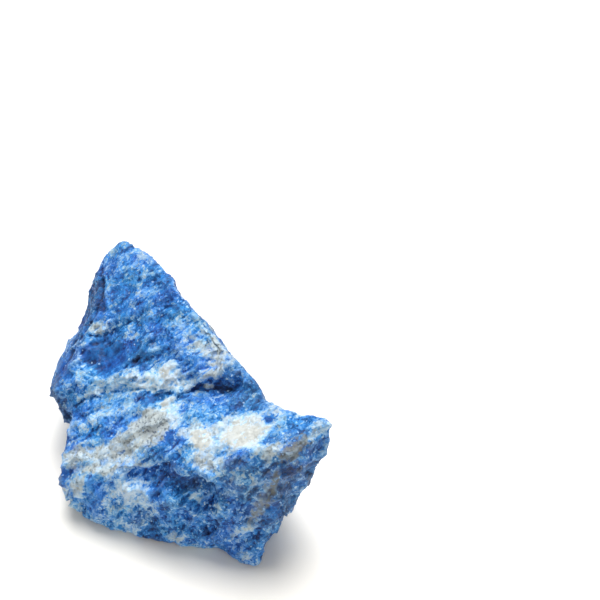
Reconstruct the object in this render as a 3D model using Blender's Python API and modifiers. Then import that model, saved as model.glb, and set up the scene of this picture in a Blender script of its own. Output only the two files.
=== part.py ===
"""A rough, broken lump of raw sodalite, lying on its flattest fracture face.

The lump is one piece of stone, so it is one solid. Its form comes from three blocks that are joined: the
crown at the back, the toe at the front and a foot under the right side. Shell-shaped hollows are struck
out of them, one of which leaves a rounded lobe standing on the front left. The faces are then broken into
small tilted facets that follow the stone's layering, and the underside is worn flat where it stands.
"""

import math

import bmesh
import bpy
from mathutils import Euler, Vector, noise

MM = 0.001

# Corners of the blocks, in millimetres, with +X to the right, +Y to the back and +Z up.
# Crown: the high back block. Its top leans down to the left.
CROWN_TOP = (
    (-17.5, 52.0, 21.8),
    (-13.4, 53.5, 25.2),
    (-8.4, 48.3, 28.2),
    (-2.2, 36.6, 28.6),
    (2.6, 31.0, 28.6),
    (7.4, 23.7, 27.6),
    (12.8, 18.0, 26.4),
    (-16.6, 42.0, 22.4),
    (-18.1, 36.8, 20.4),
    (-21.1, 30.7, 17.6),
    (-24.3, 27.9, 15.0),
)
CROWN_LIP = (
    (-16.0, 25.8, 16.4),
    (-9.0, 25.0, 19.2),
    (-4.0, 24.2, 21.8),
    (1.5, 22.8, 24.4),
    (6.0, 21.6, 26.0),
)
CROWN_FRONT = (
    (-20.6, 24.4, 13.0),
    (-9.0, 22.6, 17.0),
    (0.8, 21.4, 20.0),
    (8.1, 19.4, 22.0),
)
CROWN_FLANK = (
    (-19.0, 49.4, 13.5),
    (-20.6, 44.0, 12.5),
    (-24.8, 35.7, 11.6),
    (-25.6, 29.5, 12.4),
    (-24.2, 27.8, 8.0),
)
CROWN_BASE = (
    (-22.0, 26.4, 2.5),
    (-21.0, 38.0, 1.0),
    (-17.6, 46.6, 0.0),
    (-9.0, 50.6, 0.5),
    (-1.0, 47.0, 0.0),
    (8.0, 36.0, 0.0),
    (13.0, 25.0, 0.0),
    (12.0, 14.0, 0.0),
    (-16.0, 20.0, 0.0),
)
# Toe: the front block. Its top leans to the front and left, and its right end is the overhanging tip.
TOE_TOP = (
    (-23.5, 12.8, 8.0),
    (-22.3, 18.5, 9.8),
    (-21.6, 20.9, 11.0),
    (-21.1, 24.3, 12.9),
    (-15.9, 25.2, 16.5),
    (-8.9, 24.4, 19.2),
    (0.8, 21.6, 22.4),
    (8.1, 19.2, 24.6),
    (12.5, 17.2, 26.2),
    (24.2, 11.4, 27.2),
)
TOE_RIDGE = (
    (-18.0, 11.3, 9.2),
    (-0.9, 7.7, 18.6),
    (4.1, 5.3, 20.6),
    (7.2, 6.0, 23.0),
    (10.3, 6.6, 24.8),
    (15.6, 6.7, 26.6),
    (20.9, 10.0, 27.0),
)
# The overhanging edge that falls from the tip, and the crest beside it on the front.
TOE_EDGE = (
    (23.7, 10.4, 22.4),
    (21.1, 7.4, 17.0),
    (18.1, 5.3, 12.0),
    (14.3, 3.0, 7.0),
    (16.3, 4.6, 23.4),
    (12.6, 3.4, 18.0),
)
TOE_BASE = (
    (-23.0, 14.6, 3.4),
    (-20.1, 12.2, 2.4),
    (-19.2, 9.4, 0.7),
    (-16.1, 8.4, 0.0),
    (-8.6, 6.9, 0.0),
    (1.5, 5.9, 0.0),
    (7.2, 2.6, 0.4),
    (11.0, 0.3, 0.4),
    (10.7, 1.1, 1.6),
    (12.6, 8.0, 0.4),
    (13.0, 22.0, 0.5),
    (-14.0, 24.0, 0.5),
    (-21.4, 21.6, 4.0),
)
# Foot: the wall under the right-hand edge of the crown spreads out to the floor.
FOOT = (
    (-8.0, 45.6, 24.0),
    (0.0, 35.0, 26.0),
    (9.0, 20.0, 25.0),
    (-2.9, 48.6, 9.0),
    (2.1, 47.3, 10.2),
    (5.4, 43.4, 8.6),
    (9.0, 36.0, 7.0),
    (14.2, 25.6, 6.4),
    (0.2, 48.0, 0.5),
    (8.4, 40.4, 0.0),
    (14.8, 30.2, 0.0),
    (16.2, 20.0, 0.0),
    (0.0, 20.0, 0.0),
)
# Lobe: a rounded bulge low on the front left, which the scar behind it left standing.
LOBE = (
    (-18.2, 11.6, 9.0),
    (-13.3, 11.0, 11.8),
    (-9.4, 11.8, 14.8),
    (-4.8, 12.8, 17.4),
    (-7.2, 9.8, 13.2),
    (-5.0, 10.6, 14.4),
    (-10.4, 8.5, 10.0),
    (-15.0, 8.7, 7.0),
    (-17.6, 9.2, 5.0),
    (-16.6, 8.4, 0.6),
    (-10.4, 7.0, 0.0),
    (-5.0, 7.6, 0.0),
    (-5.0, 16.0, 4.0),
    (-14.0, 16.0, 4.0),
)
BLOCKS = {
    "crown": CROWN_TOP + CROWN_LIP + CROWN_FRONT + CROWN_FLANK + CROWN_BASE,
    "toe": TOE_TOP + TOE_RIDGE + TOE_EDGE + TOE_BASE,
    "foot": FOOT,
}

# Hollows: centre and half-widths of an ellipsoid in millimetres, and its turns about X, Y and Z in degrees.
HOLLOWS = {
    "crown_scar": ((-17.4, 30.4, 23.4), (8.4, 8.0, 5.0), (6, -20, 0)),
    "crease": ((-12.6, 24.9, 18.5), (8.6, 0.8, 1.3), (0, -23, -5)),
    "valley": ((5.0, 20.8, 24.1), (5.6, 1.4, 1.4), (0, -15, -16)),
    "lobe_scar": ((-8.6, 6.4, 17.2), (7.4, 5.9, 6.0), (0, -14, -12)),
    "brow": ((0.2, 4.3, 15.8), (6.0, 4.2, 4.2), (0, -14, -8)),
    "front_foot": ((1.4, 0.2, 1.0), (7.0, 4.1, 5.0), (0, 0, -8)),
    "left_notch": ((-25.6, 22.4, 3.4), (3.6, 5.0, 6.6), (0, 20, 10)),
    "left_step": ((-23.0, 42.2, 17.2), (3.7, 7.6, 8.0), (0, 28, -23)),
    "tip_back": ((20.0, 20.0, 25.0), (7.0, 7.0, 9.0), (0, 0, 0)),
    "tip_belly": ((25.4, 19.6, 11.0), (9.0, 8.0, 12.6), (0, 12, 0)),
    "back_scar": ((-10.3, 63.0, 13.3), (14.0, 14.0, 14.0), (0, 0, 0)),
    "wall_scar": ((17.9, 49.8, 12.6), (16.0, 16.0, 16.0), (0, 0, 0)),
    "flank_scar": ((-27.6, 42.6, 3.0), (6.0, 9.0, 6.6), (0, 0, 12)),
}

# The layering stands steeply: its normal, and how much closer together breaks are across it.
LAYER_NORMAL = Vector((-0.48, 0.82, 0.31)).normalized()
LAYER_SQUEEZE = 1.7
# Each set of facets: how far apart they are in millimetres, and how steeply they lean.
FACET_SETS = ((10.0, 0.05), (4.4, 0.12), (2.3, 0.11))
# Spreads the sites of the facets far apart before each draws its lean.
SITE_SPREAD = 31.7
# Broad swells: how far apart they are, and how high they stand.
SWELL_ACROSS = 14.0
SWELL_HEIGHT = 0.25

# Grain of the even skin before and after the faces are broken, and how many triangles are kept.
FORM_VOXEL = 0.55
SKIN_VOXEL = 0.6
TRIANGLES = 9000
HOLLOW_ROUNDS = 4
# How much is worn off the underside, and the width of the block that takes it off.
WORN_OFF = 0.45
FLOOR_BLOCK = 120.0

ROYAL_BLUE = (0.052, 0.155, 0.46, 1.0)
ROUGHNESS = 0.55


def clear_scene():
    """Takes every object out of the file."""
    for obj in list(bpy.data.objects):
        bpy.data.objects.remove(obj)


def collection(name):
    """A new collection in the scene."""
    made = bpy.data.collections.new(name)
    bpy.context.scene.collection.children.link(made)
    return made


def place(name, mesh, home, helper):
    """An object for this mesh in the collection home. A helper isn't rendered."""
    obj = bpy.data.objects.new(name, mesh)
    home.objects.link(obj)
    obj.hide_render = helper
    if helper:
        obj.display_type = "WIRE"
    return obj


def block(name, corners, home):
    """The convex block that these corners, in millimetres, enclose."""
    bm = bmesh.new()
    for corner in corners:
        bm.verts.new(Vector(corner) * MM)
    hull = bmesh.ops.convex_hull(bm, input=bm.verts)
    inner = {v for v in hull["geom_interior"] if isinstance(v, bmesh.types.BMVert)}
    bmesh.ops.delete(bm, geom=list(inner), context="VERTS")
    bmesh.ops.recalc_face_normals(bm, faces=bm.faces)
    mesh = bpy.data.meshes.new(name)
    bm.to_mesh(mesh)
    bm.free()
    return place(name, mesh, home, helper=True)


def hollow(name, centre, half_widths, turns, home):
    """An ellipsoid that is struck out of the blocks."""
    bm = bmesh.new()
    bmesh.ops.create_icosphere(bm, subdivisions=HOLLOW_ROUNDS, radius=1.0)
    mesh = bpy.data.meshes.new(name)
    bm.to_mesh(mesh)
    bm.free()
    obj = place(name, mesh, home, helper=True)
    obj.scale = Vector(half_widths) * MM
    obj.rotation_euler = Euler([math.radians(turn) for turn in turns])
    obj.location = Vector(centre) * MM
    return obj


def evaluated_mesh(obj):
    """The object's mesh with its modifiers applied."""
    bpy.context.view_layer.update()
    graph = bpy.context.evaluated_depsgraph_get()
    return bpy.data.meshes.new_from_object(obj.evaluated_get(graph), depsgraph=graph)


def add_boolean(obj, operation, others):
    """A Boolean modifier that joins or cuts with every object of a collection."""
    modifier = obj.modifiers.new(operation.lower(), "BOOLEAN")
    modifier.operation = operation
    modifier.operand_type = "COLLECTION"
    modifier.collection = others
    modifier.solver = "EXACT"


def add_remesh(obj, voxel):
    """A voxel remesh, which gives the solid one even skin."""
    modifier = obj.modifiers.new("skin", "REMESH")
    modifier.mode = "VOXEL"
    modifier.voxel_size = voxel * MM


def rough_form(helpers):
    """The joined blocks with the hollows struck out and the lobe left standing, as an even mesh."""
    joined = collection("blocks")
    struck = collection("hollows")
    standing = collection("left_standing")
    core = block("core", BLOCKS["crown"], helpers)
    for name, corners in BLOCKS.items():
        if name != "crown":
            block(name, corners, joined)
    for name, (centre, half_widths, turns) in HOLLOWS.items():
        hollow(name, centre, half_widths, turns, struck)
    block("lobe", LOBE, standing)
    add_boolean(core, "UNION", joined)
    add_boolean(core, "DIFFERENCE", struck)
    add_boolean(core, "UNION", standing)
    add_remesh(core, FORM_VOXEL)
    return evaluated_mesh(core)


def along_layers(point):
    """The point in a space where breaks are equally far apart in every direction."""
    across = point.dot(LAYER_NORMAL)
    return point + LAYER_NORMAL * (across * (LAYER_SQUEEZE - 1))


def facet_height(point, across, lean):
    """How far the rock stands out at this point, where it broke into tilted facets."""
    scaled = along_layers(point) / across
    site = noise.voronoi(scaled)[1][0]
    tilt = noise.cell_vector(site * SITE_SPREAD) * 2 - Vector((1, 1, 1))
    return (scaled - site).dot(tilt) * across * lean


def relief(point):
    """How far a point of the surface, in millimetres, moves out when the faces are broken."""
    height = noise.noise(point / SWELL_ACROSS) * SWELL_HEIGHT
    for across, lean in FACET_SETS:
        height += facet_height(point, across, lean)
    return height


def break_faces(mesh):
    """Moves each point of the even mesh out or in by the relief of the broken rock."""
    moved = [vertex.co + vertex.normal * (relief(vertex.co / MM) * MM) for vertex in mesh.vertices]
    for vertex, broken in zip(mesh.vertices, moved):
        vertex.co = broken


def thinned(mesh, home, triangles):
    """The broken skin, remeshed and brought down to this many triangles."""
    obj = place("skin", mesh, home, helper=True)
    add_remesh(obj, SKIN_VOXEL)
    even = evaluated_mesh(obj)
    even.calc_loop_triangles()
    decimate = obj.modifiers.new("thin", "DECIMATE")
    decimate.ratio = triangles / len(even.loop_triangles)
    return evaluated_mesh(obj)


def floor_block(height, home):
    """A block whose top is the floor on which the lump stands."""
    bm = bmesh.new()
    bmesh.ops.create_cube(bm, size=FLOOR_BLOCK * MM)
    mesh = bpy.data.meshes.new("floor_block")
    bm.to_mesh(mesh)
    bm.free()
    obj = place("floor_block", mesh, home, helper=True)
    obj.location.z = (height - FLOOR_BLOCK / 2) * MM


def stand_on_origin(mesh):
    """Moves the mesh so that the middle of its box's underside is the origin."""
    xs, ys, zs = zip(*(vertex.co for vertex in mesh.vertices))
    middle = Vector(((min(xs) + max(xs)) / 2, (min(ys) + max(ys)) / 2, min(zs)))
    for vertex in mesh.vertices:
        vertex.co -= middle


def sodalite():
    """The stone's plain blue finish."""
    material = bpy.data.materials.new("sodalite")
    material.use_nodes = True
    shader = material.node_tree.nodes["Principled BSDF"]
    shader.inputs["Base Color"].default_value = ROYAL_BLUE
    shader.inputs["Roughness"].default_value = ROUGHNESS
    shader.inputs["Metallic"].default_value = 0.0
    return material


def build():
    """Makes the stone."""
    clear_scene()
    helpers = collection("helpers")
    worn = collection("worn_away")
    form = rough_form(helpers)
    break_faces(form)
    skin = place("broken", thinned(form, helpers, TRIANGLES), helpers, helper=True)
    lowest = min(vertex.co.z for vertex in skin.data.vertices) / MM
    floor_block(lowest + WORN_OFF, worn)
    add_boolean(skin, "DIFFERENCE", worn)
    mesh = evaluated_mesh(skin)
    stand_on_origin(mesh)
    mesh.materials.clear()
    mesh.materials.append(sodalite())
    place("stone", mesh, collection("raw_sodalite"), helper=False)


build()
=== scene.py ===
"""Dresses one lump of raw sodalite: its skin, its minerals, the floor, the light and the view."""

import logging
import math
from dataclasses import dataclass, field
from enum import Enum, IntEnum
from typing import Any

import bpy
import numpy as np
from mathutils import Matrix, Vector
from mathutils.bvhtree import BVHTree

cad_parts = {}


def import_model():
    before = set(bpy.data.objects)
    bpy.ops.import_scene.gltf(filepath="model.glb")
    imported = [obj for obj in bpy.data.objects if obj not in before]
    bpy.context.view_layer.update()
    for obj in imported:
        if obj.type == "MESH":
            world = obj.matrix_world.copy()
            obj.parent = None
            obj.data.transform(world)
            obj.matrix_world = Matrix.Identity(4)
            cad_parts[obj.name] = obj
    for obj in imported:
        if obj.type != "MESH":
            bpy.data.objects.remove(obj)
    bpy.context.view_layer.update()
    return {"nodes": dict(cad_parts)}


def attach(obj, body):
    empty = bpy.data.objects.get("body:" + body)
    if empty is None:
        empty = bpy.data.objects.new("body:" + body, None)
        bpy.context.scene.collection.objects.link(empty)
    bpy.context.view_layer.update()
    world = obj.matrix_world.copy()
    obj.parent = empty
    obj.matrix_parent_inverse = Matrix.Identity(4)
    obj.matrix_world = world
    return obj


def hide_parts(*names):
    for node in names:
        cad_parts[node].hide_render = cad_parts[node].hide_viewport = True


Socket = bpy.types.NodeSocket
Colour = tuple[float, float, float]
Place = tuple[float, float, float]
Pair = tuple[float, float]
Inputs = dict[Any, Any]

MM = 0.001
PICTURE_SIDE = 600.0
FAR_OFF = 1e9
TINY = 1e-9
NOISE_MIDDLE = 0.5
SALT_ACROSS = 7
SALT_DOWN = 13
PLAIN_OCTAVES = 3
FINE_OCTAVES = 4
LAYERS_FACE = (-0.48, 0.82, 0.31)
BODY = "root"
SOLID_NODE = "stone"
SKIN = "stone_skin"

logging.basicConfig(level=logging.INFO, format="%(name)s: %(message)s")
LOG = logging.getLogger("raw_sodalite")


class Tone(Enum):
    """Named minerals, each as (paleness, ash, tan, dusk, calm)."""

    NAVY = (0.11, 0.0, 0.0, 0.15, 0.3)
    DEEP = (0.25, 0.0, 0.0, 0.10, 0.2)
    ROYAL = (0.28, 0.0, 0.0, 0.0, 0.8)
    BLUE = (0.45, 0.0, 0.0, 0.0, 0.0)
    AZURE = (0.53, 0.0, 0.0, 0.0, 0.6)
    SKY = (0.61, 0.0, 0.0, 0.0, 0.0)
    FROST = (0.81, 0.0, 0.0, 0.0, 0.1)
    MIST = (0.84, 0.72, 0.08, 0.0, 0.5)
    PALE = (0.92, 0.0, 0.0, 0.0, 0.5)
    CREAM = (1.05, 0.0, 0.05, 0.0, 1.0)
    ASH = (0.72, 1.0, 0.05, 0.0, 0.3)
    TAN = (0.38, 0.3, 1.0, 0.12, 0.1)
    SLATE = (0.38, 0.20, 0.05, 0.65, 0.1)


MINERALS = ("paleness", "ash", "tan", "dusk", "calm")
HAZY_TONES = (Tone.MIST, Tone.PALE, Tone.CREAM, Tone.ASH)


class Salt(IntEnum):
    """Sets each use of the repeatable noise apart from the others."""

    SCOOPS = 10
    LEDGE_WAVES = 60
    LEDGE_DRIFT = 66
    LEDGE_RISE = 70
    LEDGE_SPREAD = 71
    SCOOP_WANDER = 90
    FRONT_SCOOPS = 130
    SEAMS = 200
    BROAD = 300
    PATCHY = 310
    WHITE = 320
    DARK = 330
    ASH = 340
    TAN = 350
    DUSK = 360
    CALM = 370
    PATCHES = 400
    WORN_AND_LIT_EDGES = 500


@dataclass(frozen=True)
class PhotoView:
    """The camera: where it stands and which point of the floor it looks at, in millimetres."""

    aim: Place = (19.3, 33.75, 0.0)
    elevation_deg: float = 50.0
    distance: float = 383.0
    lens: float = 120.0
    sensor: float = 36.0
    nearest: float = 10.0
    farthest: float = 20000.0

    def axes(self) -> tuple[np.ndarray, np.ndarray, np.ndarray]:
        """Gives the picture's own directions.

        Returns:
            The picture's right, its up, and the way back to the camera.
        """
        rise = math.radians(self.elevation_deg)
        back = np.array([0.0, -math.cos(rise), math.sin(rise)])
        up = np.array([0.0, math.sin(rise), math.cos(rise)])
        return np.array([1.0, 0.0, 0.0]), up, back

    def place(self) -> np.ndarray:
        """Gives the camera's place."""
        return np.array(self.aim) + self.axes()[2] * self.distance

    def ray(self, across: float, down: float) -> np.ndarray:
        """Gives the unit direction from the camera through a point of the picture.

        Args:
            across: Pixels from the picture's left edge.
            down: Pixels from the picture's top edge.

        Returns:
            The direction as three numbers.
        """
        right, up, back = self.axes()
        reach = self.sensor / self.lens / PICTURE_SIDE
        middle = PICTURE_SIDE / 2
        way = (across - middle) * reach * right - (down - middle) * reach * up - back
        return way / np.linalg.norm(way)

    def pixels(self, points: np.ndarray) -> tuple[np.ndarray, np.ndarray, np.ndarray]:
        """Finds where places show in the picture.

        Args:
            points: Places in millimetres.

        Returns:
            Pixels across, pixels down, and the millimetres that a pixel spans there.
        """
        right, up, back = self.axes()
        off = points - self.place()
        pixel = -(off @ back) * self.sensor / self.lens / PICTURE_SIDE
        return PICTURE_SIDE / 2 + off @ right / pixel, PICTURE_SIDE / 2 - off @ up / pixel, pixel

    def build(self) -> bpy.types.Object:
        """Makes the camera and gives it to the scene.

        Returns:
            The camera object.
        """
        data = bpy.data.cameras.new("photo_view")
        data.lens = self.lens
        data.sensor_width = self.sensor
        data.clip_start = self.nearest * MM
        data.clip_end = self.farthest * MM
        camera = bpy.data.objects.new("photo_view", data)
        camera.location = Vector(self.place() * MM)
        camera.rotation_euler = Vector(-self.axes()[2]).to_track_quat("-Z", "Y").to_euler()
        bpy.context.scene.collection.objects.link(camera)
        bpy.context.scene.camera = camera
        return camera


@dataclass(frozen=True)
class Patch:
    """A patch of mineral: its middle and half sizes in pixels, and its turn in degrees."""

    name: str
    middle: Pair
    half_width: float
    half_height: float
    turn: float
    tone: Tone
    strength: float = 0.9
    soft: float = 0.35
    ragged: float = 0.75

    def salt(self) -> int:
        """Gives the patch a noise of its own, by where its middle shows."""
        return Salt.PATCHES + int(self.middle[0] * SALT_ACROSS + self.middle[1] * SALT_DOWN)


@dataclass(frozen=True)
class Seam:
    """A crack or a step, by pixels that it passes; a depth below nought raises it."""

    name: str
    route: tuple[Pair, ...]
    half_width: float
    depth: float


@dataclass(frozen=True)
class Edge:
    """A side of the outline, by pixels that it passes: 1 is the right side, and -1 the left."""

    name: str
    route: tuple[Pair, ...]
    side: int


def smooth_step(low: float, high: float, value: np.ndarray) -> np.ndarray:
    """Goes smoothly from 0 at low to 1 at high."""
    t = np.clip((value - low) / (high - low), 0, 1)
    return t * t * (3 - 2 * t)


class GrainField:
    """Repeatable noise over points in millimetres."""

    WORD = 0xFFFFFFFF
    CELL_FACTORS = (73856093, 19349663, 83492791)
    SALT_FACTOR = 2654435
    SALT_START = 977
    STIR_FACTOR = 0x45D9F3B
    STIR_SHIFT = 16
    STIR_ROUNDS = 2
    OCTAVE_SHIFT = 17.3
    LEAN_SALT = 5
    BOWL = 2.4
    LEAN = 0.9
    MEAN_HEIGHT = 0.55

    @classmethod
    def scatter(cls, cells: np.ndarray, salt: int) -> np.ndarray:
        """Gives each lattice cell its own number from 0 to 1.

        Args:
            cells: Whole numbers, three to a cell.
            salt: Sets one use apart from the next.

        Returns:
            One number for each cell.
        """
        c = cells.astype(np.int64)
        first, second, third = cls.CELL_FACTORS
        h = (c[..., 0] * first) ^ (c[..., 1] * second) ^ (c[..., 2] * third)
        h = (h ^ (salt * cls.SALT_FACTOR + cls.SALT_START)) & cls.WORD
        for _ in range(cls.STIR_ROUNDS):
            h = h ^ (h >> cls.STIR_SHIFT)
            h = (h * cls.STIR_FACTOR) & cls.WORD
        return (h ^ (h >> cls.STIR_SHIFT)) / cls.WORD

    @classmethod
    def triple(cls, cells: np.ndarray, salt: int) -> np.ndarray:
        """Gives each lattice cell three numbers of its own from 0 to 1."""
        return np.stack([cls.scatter(cells, salt + k) for k in range(3)], axis=1)

    @classmethod
    def cloud(cls, points: np.ndarray, size: float, salt: int) -> np.ndarray:
        """Gives smooth noise.

        Args:
            points: Places in millimetres.
            size: The distance over which it changes, in millimetres.
            salt: Sets one use apart from the next.

        Returns:
            One number from -1 to 1 for each point.
        """
        q = points / size
        low = np.floor(q)
        f = smooth_step(0.0, 1.0, q - low)
        low = low.astype(np.int64)
        total = np.zeros(len(points))
        for corner in np.ndindex(2, 2, 2):
            c = np.array(corner)
            weight = np.prod(np.where(c == 1, f, 1 - f), axis=1)
            total += weight * cls.scatter(low + c, salt)
        return total * 2 - 1

    @classmethod
    def billow(
        cls, points: np.ndarray, size: float, salt: int, octaves: int = PLAIN_OCTAVES
    ) -> np.ndarray:
        """Adds up noise of ever smaller size, each with half the strength.

        Args:
            points: Places in millimetres.
            size: The distance over which the broadest noise changes.
            salt: Sets one use apart from the next.
            octaves: How many sizes are added up.

        Returns:
            One number from -1 to 1 for each point.
        """
        total = np.zeros(len(points))
        weight = 1.0
        for octave in range(octaves):
            moved = points + cls.OCTAVE_SHIFT * octave
            total += weight * cls.cloud(moved, size / 2**octave, salt + octave)
            weight /= 2
        return total / (2 - 2 ** (1 - octaves))

    @classmethod
    def cells(cls, points: np.ndarray, size: float, salt: int) -> tuple[np.ndarray, np.ndarray]:
        """Finds the nearest crystal seed of each point.

        Args:
            points: Places in millimetres.
            size: The usual width of a crystal.
            salt: Sets one use apart from the next.

        Returns:
            The way from the seed to each point, and the seed's lattice cell.
        """
        q = points / size
        low = np.floor(q).astype(np.int64)
        best = np.full(len(points), FAR_OFF)
        away = np.zeros_like(q)
        home = np.zeros_like(low)
        for step in np.ndindex(3, 3, 3):
            cell = low + (np.array(step) - 1)
            gap = q - (cell + cls.triple(cell, salt))
            far = np.einsum("ij,ij->i", gap, gap)
            nearer = far < best
            best = np.where(nearer, far, best)
            away[nearer] = gap[nearer]
            home[nearer] = cell[nearer]
        return away * size, home

    @classmethod
    def scoops(cls, points: np.ndarray, size: float, depth: float, salt: int) -> np.ndarray:
        """Gives the height of a surface struck into shallow scoops that meet in sharp crests.

        Args:
            points: Places in millimetres.
            size: The usual width of a scoop.
            depth: How far the crests stand above the middle of a usual scoop.
            salt: Sets one use apart from the next.

        Returns:
            One height in millimetres for each point, with a mean near nought.
        """
        away, home = cls.cells(points, size, salt)
        lean = cls.triple(home, salt + cls.LEAN_SALT) * 2 - 1
        bowl = np.einsum("ij,ij->i", away, away) / size**2 * cls.BOWL
        slope = np.einsum("ij,ij->i", away, lean) / size * cls.LEAN
        return depth * (bowl + slope - cls.MEAN_HEIGHT)


class SkinMesh:
    """The skin's points in millimetres, with their neighbours and normals."""

    def __init__(self, mesh: bpy.types.Mesh) -> None:
        """Reads the mesh into arrays.

        Args:
            mesh: The skin's mesh.
        """
        self.mesh = mesh
        count = len(mesh.vertices)
        flat = np.zeros(count * 3)
        mesh.vertices.foreach_get("co", flat)
        self.points = flat.reshape(-1, 3) / MM
        pairs = np.zeros(len(mesh.edges) * 2, dtype=np.int64)
        mesh.edges.foreach_get("vertices", pairs)
        self.pairs = pairs.reshape(-1, 2)
        self.degree = np.bincount(self.pairs.ravel(), minlength=count)[:, None].astype(float)

    def around(self, values: np.ndarray) -> np.ndarray:
        """Gives the mean of each point's neighbours.

        Args:
            values: One row for each point.

        Returns:
            The neighbours' means, of the same shape.
        """
        total = np.zeros_like(values)
        count = len(values)
        first, second = self.pairs[:, 0], self.pairs[:, 1]
        for axis in range(values.shape[1]):
            total[:, axis] += np.bincount(first, weights=values[second, axis], minlength=count)
            total[:, axis] += np.bincount(second, weights=values[first, axis], minlength=count)
        return total / self.degree

    def store(self) -> None:
        """Writes the points back into the mesh."""
        self.mesh.vertices.foreach_set("co", (self.points * MM).ravel())
        self.mesh.update()

    def normals(self) -> np.ndarray:
        """Gives each point's outward normal, after the points are stored.

        Returns:
            Three numbers for each point.
        """
        flat = np.zeros(len(self.points) * 3)
        self.mesh.vertices.foreach_get("normal", flat)
        return flat.reshape(-1, 3)

    def tree(self) -> BVHTree:
        """Makes the search tree that the sight lines are tested against."""
        faces = [tuple(p.vertices) for p in self.mesh.polygons]
        return BVHTree.FromPolygons([tuple(p) for p in self.points], faces)


class NodeBench:
    """Adds shader nodes to one tree and joins them."""

    # The colour sockets of the Mix node share their names with others, so they go by number.
    MIX_FIRST = 6
    MIX_SECOND = 7
    MIX_RESULT = 2
    RANGE_ENDS = ("From Min", "From Max", "To Min", "To Max")

    def __init__(self, tree: bpy.types.NodeTree) -> None:
        """Keeps the tree that the nodes go into."""
        self.tree = tree

    def add(self, kind: str, inputs: Inputs | None = None, **settings: Any) -> bpy.types.Node:
        """Adds one node.

        Args:
            kind: The node's Blender type.
            inputs: A value or another node's socket for each named or numbered input.
            settings: The node's own properties.

        Returns:
            The new node.
        """
        node = self.tree.nodes.new(kind)
        for name, value in settings.items():
            setattr(node, name, value)
        for name, value in (inputs or {}).items():
            if isinstance(value, Socket):
                self.tree.links.new(value, node.inputs[name])
            else:
                node.inputs[name].default_value = value
        return node

    def maths(self, operation: str, *values: Any) -> Socket:
        """Works out one sum of numbers and gives its result."""
        return self.add("ShaderNodeMath", dict(enumerate(values)), operation=operation).outputs[0]

    def vector(self, operation: str, *values: Any) -> Socket:
        """Works out one sum of vectors and gives its vector result."""
        node = self.add("ShaderNodeVectorMath", dict(enumerate(values)), operation=operation)
        return node.outputs["Vector"]

    def dot(self, first: Any, second: Any) -> Socket:
        """Gives the dot product of two vectors."""
        node = self.add("ShaderNodeVectorMath", {0: first, 1: second}, operation="DOT_PRODUCT")
        return node.outputs["Value"]

    def scaled(self, vector: Any, factor: Any) -> Socket:
        """Gives a vector times a number."""
        node = self.add("ShaderNodeVectorMath", {0: vector, "Scale": factor}, operation="SCALE")
        return node.outputs["Vector"]

    def blend(self, amount: Any, first: Any, second: Any) -> Socket:
        """Lays a second colour over a first one.

        Args:
            amount: How much of the second shows, from 0 to 1.
            first: The colour below.
            second: The colour above.

        Returns:
            The mixed colour.
        """
        below, above = [(*c, 1.0) if isinstance(c, tuple) else c for c in (first, second)]
        inputs = {"Factor": amount, self.MIX_FIRST: below, self.MIX_SECOND: above}
        return self.add("ShaderNodeMix", inputs, data_type="RGBA").outputs[self.MIX_RESULT]

    def span(self, value: Any, reach: Pair, onto: Pair = (0.0, 1.0)) -> Socket:
        """Maps a range of numbers smoothly on to another.

        Args:
            value: The number to map.
            reach: Where the change starts and ends.
            onto: What it gives before its start and past its end.

        Returns:
            The mapped number.
        """
        inputs = {"Value": value, **dict(zip(self.RANGE_ENDS, (*reach, *onto)))}
        node = self.add("ShaderNodeMapRange", inputs, interpolation_type="SMOOTHSTEP")
        return node.outputs["Result"]

    def noise(self, place: Any, scale: float, detail: float) -> bpy.types.Node:
        """Adds soft noise."""
        return self.add("ShaderNodeTexNoise", {"Vector": place, "Scale": scale, "Detail": detail})

    def swing(self, place: Any, scale: float, detail: float) -> Socket:
        """Gives soft noise that swings about nought."""
        return self.maths("SUBTRACT", self.noise(place, scale, detail).outputs["Fac"], NOISE_MIDDLE)

    def painted(self, name: str) -> Socket:
        """Reads a number that was painted on the skin."""
        node = self.add("ShaderNodeAttribute", attribute_name=name, attribute_type="GEOMETRY")
        return node.outputs["Fac"]


def crystal_group() -> bpy.types.NodeTree:
    """Makes the node group of packed crystals, each with its own shade and its own lean.

    Returns:
        The node group. Its inputs are Place, Size and Lean, and its outputs Shade, Height, Chance
        and Core.
    """
    tree = bpy.data.node_groups.new("packed_crystals", "ShaderNodeTree")
    for name, kind in (("Place", "Vector"), ("Size", "Float"), ("Lean", "Float")):
        tree.interface.new_socket(name, in_out="INPUT", socket_type="NodeSocket" + kind)
    for name in ("Shade", "Height", "Chance", "Core"):
        tree.interface.new_socket(name, in_out="OUTPUT", socket_type="NodeSocketFloat")
    bench = NodeBench(tree)
    given = bench.add("NodeGroupInput").outputs
    scale = bench.maths("DIVIDE", 1.0, given["Size"])
    packing = {"Vector": given["Place"], "Scale": scale, "Randomness": 1.0}
    cells = bench.add("ShaderNodeTexVoronoi", packing)
    chance = bench.add("ShaderNodeSeparateColor", {0: cells.outputs["Color"]})
    away = bench.vector("SUBTRACT", given["Place"], cells.outputs["Position"])
    lean = bench.vector("SUBTRACT", cells.outputs["Color"], (NOISE_MIDDLE,) * 3)
    height = bench.maths("MULTIPLY", bench.dot(away, lean), given["Lean"])
    shade = bench.maths("SUBTRACT", chance.outputs[0], NOISE_MIDDLE)
    core = cells.outputs["Distance"]
    results = {"Shade": shade, "Height": height, "Chance": chance.outputs[1], "Core": core}
    bench.add("NodeGroupOutput", results)
    return tree


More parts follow.
